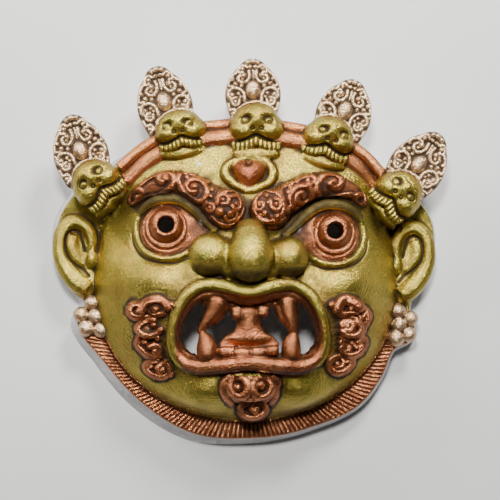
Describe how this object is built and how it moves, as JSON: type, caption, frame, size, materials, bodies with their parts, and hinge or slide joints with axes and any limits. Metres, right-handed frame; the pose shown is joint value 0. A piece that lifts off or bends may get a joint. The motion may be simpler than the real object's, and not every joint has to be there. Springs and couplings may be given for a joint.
{
  "type": "wall mask",
  "caption": "Hollow cast wall mask of a wrathful guardian's face: skull crown with leaf plates, bulging eyes, open fanged mouth, scrolled brows, beaded ears and ribbed beard.",
  "frame": {"origin": "middle of the mask's bounding box, on the plane of its flat back rim", "axes": "+Z out of the face towards the viewer, +Y towards the crown, +X towards the ear on the viewer's right; the mask lies on its back"},
  "size_m": [0.2409, 0.2348, 0.0797],
  "materials": {
    "antique_gold": "white cast resin, its front painted satin antique gold and copper with a dark wash in the recesses"
  },
  "bodies": {
    "root": {"mask": "antique_gold"}
  },
  "joints": []
}
